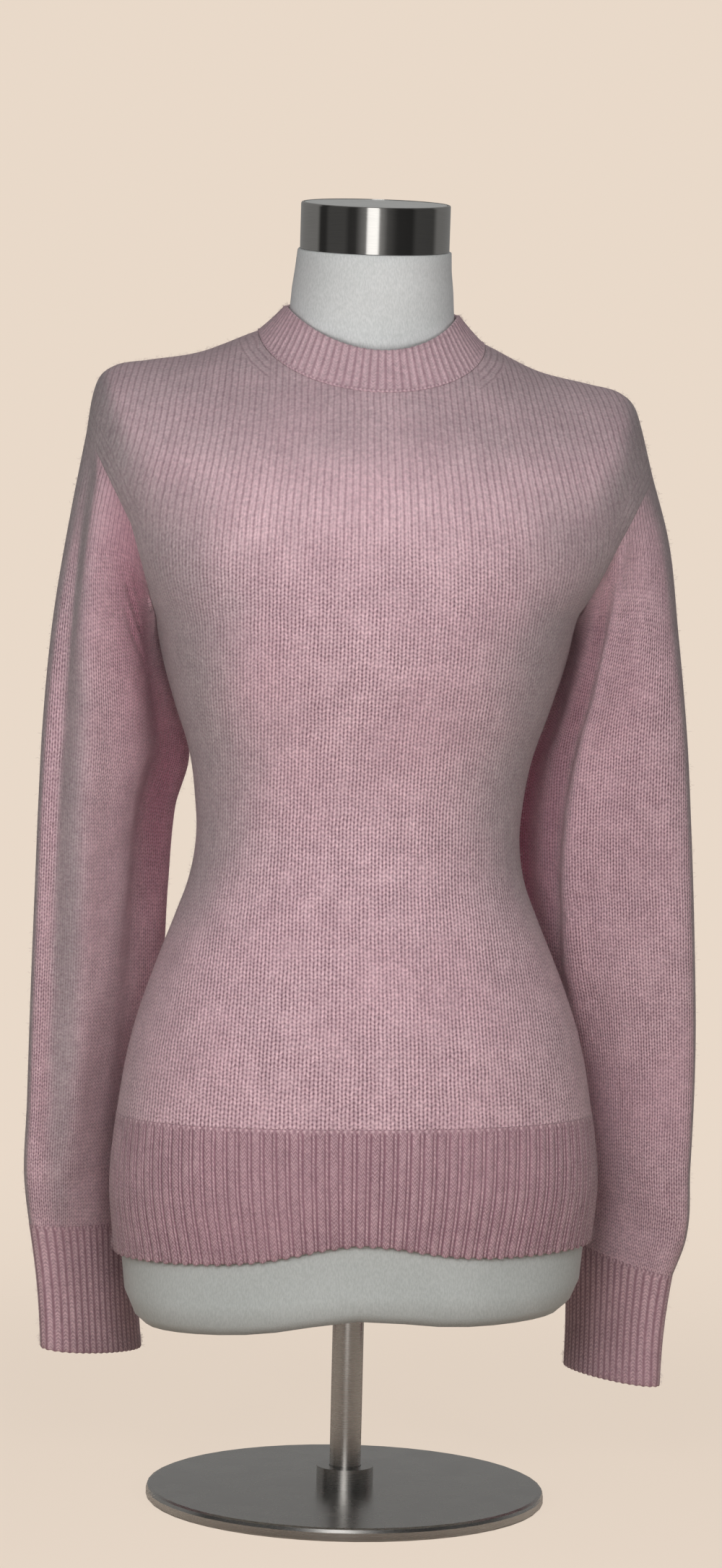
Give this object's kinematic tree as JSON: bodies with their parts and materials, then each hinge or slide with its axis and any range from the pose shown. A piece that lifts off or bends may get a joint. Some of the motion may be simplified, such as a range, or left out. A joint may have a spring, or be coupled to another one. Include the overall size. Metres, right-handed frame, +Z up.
{
  "type": "crewneck sweater on a dress form",
  "caption": "Long-sleeved crewneck sweater in plain knit with ribbed hem, cuffs and neckband, worn on a limbless dress form that stands on a pole and a round foot.",
  "frame": {"origin": "centre of the foot's flat underside, where the stand meets the floor", "axes": "+Z up the pole and the form; -Y is the way the sweater's front faces; +X is to the right of someone who looks at the front"},
  "size_m": [0.4731, 0.28, 0.9142],
  "materials": {
    "pink_knit": "soft brushed plain knit, dusty pink",
    "pink_rib": "soft brushed rib knit, dusty pink",
    "form_jersey": "smooth pale jersey over a hard form",
    "brushed_steel": "fine brushed steel",
    "pale_plate": "matt pale grey"
  },
  "bodies": {
    "root": {"front_panel": "pink_knit", "back_panel": "pink_knit", "sleeve_left": "pink_knit", "sleeve_right": "pink_knit", "hem_rib_front": "pink_rib", "hem_rib_back": "pink_rib", "cuff_left": "pink_rib", "cuff_right": "pink_rib", "neckband": "pink_rib", "form_torso": "form_jersey", "neck_band": "brushed_steel", "neck_plate": "pale_plate", "stand_pole": "brushed_steel", "stand_foot": "brushed_steel"}
  },
  "joints": []
}
